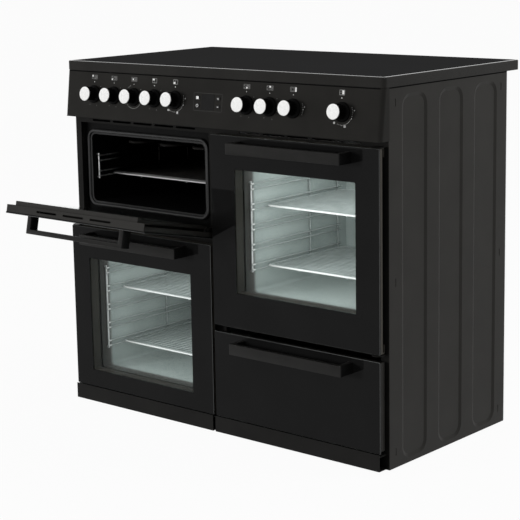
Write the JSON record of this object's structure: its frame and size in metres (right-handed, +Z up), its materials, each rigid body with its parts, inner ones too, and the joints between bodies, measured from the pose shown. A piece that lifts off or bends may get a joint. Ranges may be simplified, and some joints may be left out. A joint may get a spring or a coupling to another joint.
{
  "type": "range cooker with double oven",
  "caption": "Free-standing range cooker with a flat glass hob, sloping control panel with knobs, drop-down grill door, side-hinged ovens and a storage drawer.",
  "frame": {"origin": "on the floor, under the middle of the hob, in the plane of the feet's undersides", "axes": "+X to the right as seen from the front, -Y out of the front, +Z up"},
  "size_m": [1, 0.7785, 0.9],
  "materials": {
    "enamel": "satin dark grey enamel",
    "hob_trim": "satin dark grey enamel",
    "hob_glass": "gloss black ceramic glass",
    "door_glass": "gloss black glass with a clear window",
    "inner_glass": "clear tinted glass",
    "door_steel": "satin dark grey",
    "frame_steel": "satin black",
    "handle_black": "satin black",
    "knob_black": "black with a bright end cap",
    "key_black": "black",
    "display": "smoked window",
    "oven_enamel": "grey-green vitreous enamel",
    "grill_enamel": "black vitreous enamel",
    "bright_wire": "bright",
    "element": "heat-dulled",
    "zinc_steel": "zinc plated",
    "fan_steel": "plain",
    "seal_rubber": "dark silicone",
    "heater": "insulated dish",
    "switch": "moulded",
    "foot": "black",
    "cover_black": "black"
  },
  "bodies": {
    "cooker": {"left_side_panel": "enamel", "right_side_panel": "enamel", "back_panel": "zinc_steel", "base_tray": "zinc_steel", "levelling_feet": "foot", "plinth": "frame_steel", "front_frame": "frame_steel", "hinge_brackets": "zinc_steel", "fascia": "enamel", "clock_display": "display", "hob_frame": "hob_trim", "hob_glass": "hob_glass", "hob_tray": "zinc_steel", "radiant_elements": "heater", "regulators": "switch", "grill_liner": "grill_enamel", "main_liner": "oven_enamel", "tall_liner": "oven_enamel", "oven_seals": "seal_rubber", "grill_side_racks": "bright_wire", "main_side_racks": "bright_wire", "tall_side_racks": "bright_wire", "main_shelves": "bright_wire", "tall_shelves": "bright_wire", "grill_element": "element", "fan_covers": "oven_enamel", "fan_motors": "zinc_steel", "drawer_runners": "zinc_steel", "terminal_cover": "cover_black"},
    "grill_door": {"grill_door_glass": "door_glass", "grill_door_inner_glass": "inner_glass", "grill_door_frame": "door_steel", "grill_door_handle": "handle_black"},
    "main_door": {"main_door_glass": "door_glass", "main_door_inner_glass": "inner_glass", "main_door_frame": "door_steel", "main_door_handle": "handle_black"},
    "tall_door": {"tall_door_glass": "door_glass", "tall_door_inner_glass": "inner_glass", "tall_door_frame": "door_steel", "tall_door_handle": "handle_black"},
    "drawer": {"drawer_front": "door_glass", "drawer_box": "door_steel", "drawer_handle": "handle_black"},
    "grill_shelf": {"grill_shelf": "bright_wire"},
    "main_fan": {"main_fan": "fan_steel"},
    "tall_fan": {"tall_fan": "fan_steel"},
    "knob_1": {"knob_1": "knob_black"},
    "knob_2": {"knob_2": "knob_black"},
    "knob_3": {"knob_3": "knob_black"},
    "knob_4": {"knob_4": "knob_black"},
    "knob_5": {"knob_5": "knob_black"},
    "knob_6": {"knob_6": "knob_black"},
    "knob_7": {"knob_7": "knob_black"},
    "knob_8": {"knob_8": "knob_black"},
    "knob_9": {"knob_9": "knob_black"},
    "clock_key_1": {"clock_key_1": "key_black"},
    "clock_key_2": {"clock_key_2": "key_black"},
    "clock_key_3": {"clock_key_3": "key_black"},
    "clock_key_4": {"clock_key_4": "key_black"}
  },
  "joints": [
    {"name": "grill_door_hinge", "type": "hinge", "parent": "cooker", "child": "grill_door", "pos_m": [-0.256, -0.265, 0.5036], "axis": [1, 0, 0], "range_deg": [-78, 0]},
    {"name": "main_door_hinge", "type": "hinge", "parent": "cooker", "child": "main_door", "pos_m": [-0.485, -0.272, 0.263], "axis": [0, 0, -1], "range_deg": [0, 110]},
    {"name": "tall_door_hinge", "type": "hinge", "parent": "cooker", "child": "tall_door", "pos_m": [0.477, -0.272, 0.513], "axis": [0, 0, 1], "range_deg": [0, 110]},
    {"name": "drawer_slide", "type": "slide", "parent": "cooker", "child": "drawer", "axis": [0, -1, 0], "range_m": [0, 0.3]},
    {"name": "grill_shelf_slide", "type": "slide", "parent": "cooker", "child": "grill_shelf", "axis": [0, -1, 0], "range_m": [0, 0.2]},
    {"name": "main_fan_spin", "type": "hinge", "parent": "cooker", "child": "main_fan", "pos_m": [-0.26, 0.14, 0.252], "axis": [0, 1, 0], "continuous": true},
    {"name": "tall_fan_spin", "type": "hinge", "parent": "cooker", "child": "tall_fan", "pos_m": [0.246, 0.14, 0.524], "axis": [0, 1, 0], "continuous": true},
    {"name": "knob_1_turn", "type": "hinge", "parent": "cooker", "child": "knob_1", "pos_m": [-0.397, -0.2818, 0.81941], "axis": [0, 0.9929, -0.1193], "range_deg": [0, 280]},
    {"name": "knob_2_turn", "type": "hinge", "parent": "cooker", "child": "knob_2", "pos_m": [-0.327, -0.2818, 0.81941], "axis": [0, 0.9929, -0.1193], "range_deg": [0, 280]},
    {"name": "knob_3_turn", "type": "hinge", "parent": "cooker", "child": "knob_3", "pos_m": [-0.257, -0.2818, 0.81941], "axis": [0, 0.9929, -0.1193], "range_deg": [0, 270]},
    {"name": "knob_4_turn", "type": "hinge", "parent": "cooker", "child": "knob_4", "pos_m": [-0.187, -0.2818, 0.81941], "axis": [0, 0.9929, -0.1193], "range_deg": [0, 280]},
    {"name": "knob_5_turn", "type": "hinge", "parent": "cooker", "child": "knob_5", "pos_m": [-0.117, -0.2818, 0.81941], "axis": [0, 0.9929, -0.1193], "range_deg": [0, 270]},
    {"name": "knob_6_turn", "type": "hinge", "parent": "cooker", "child": "knob_6", "pos_m": [0.11, -0.2818, 0.81941], "axis": [0, 0.9929, -0.1193], "range_deg": [0, 280]},
    {"name": "knob_7_turn", "type": "hinge", "parent": "cooker", "child": "knob_7", "pos_m": [0.18, -0.2818, 0.81941], "axis": [0, 0.9929, -0.1193], "range_deg": [0, 280]},
    {"name": "knob_8_turn", "type": "hinge", "parent": "cooker", "child": "knob_8", "pos_m": [0.25, -0.2818, 0.81941], "axis": [0, 0.9929, -0.1193], "range_deg": [0, 270]},
    {"name": "knob_9_turn", "type": "hinge", "parent": "cooker", "child": "knob_9", "pos_m": [0.39, -0.2818, 0.81941], "axis": [0, 0.9929, -0.1193], "range_deg": [0, 270]},
    {"name": "clock_key_1_press", "type": "slide", "parent": "cooker", "child": "clock_key_1", "axis": [0, 0.9929, -0.1193], "range_m": [0, 0.001], "stiffness_N_per_m": 600},
    {"name": "clock_key_2_press", "type": "slide", "parent": "cooker", "child": "clock_key_2", "axis": [0, 0.9929, -0.1193], "range_m": [0, 0.001], "stiffness_N_per_m": 600},
    {"name": "clock_key_3_press", "type": "slide", "parent": "cooker", "child": "clock_key_3", "axis": [0, 0.9929, -0.1193], "range_m": [0, 0.001], "stiffness_N_per_m": 600},
    {"name": "clock_key_4_press", "type": "slide", "parent": "cooker", "child": "clock_key_4", "axis": [0, 0.9929, -0.1193], "range_m": [0, 0.001], "stiffness_N_per_m": 600}
  ]
}
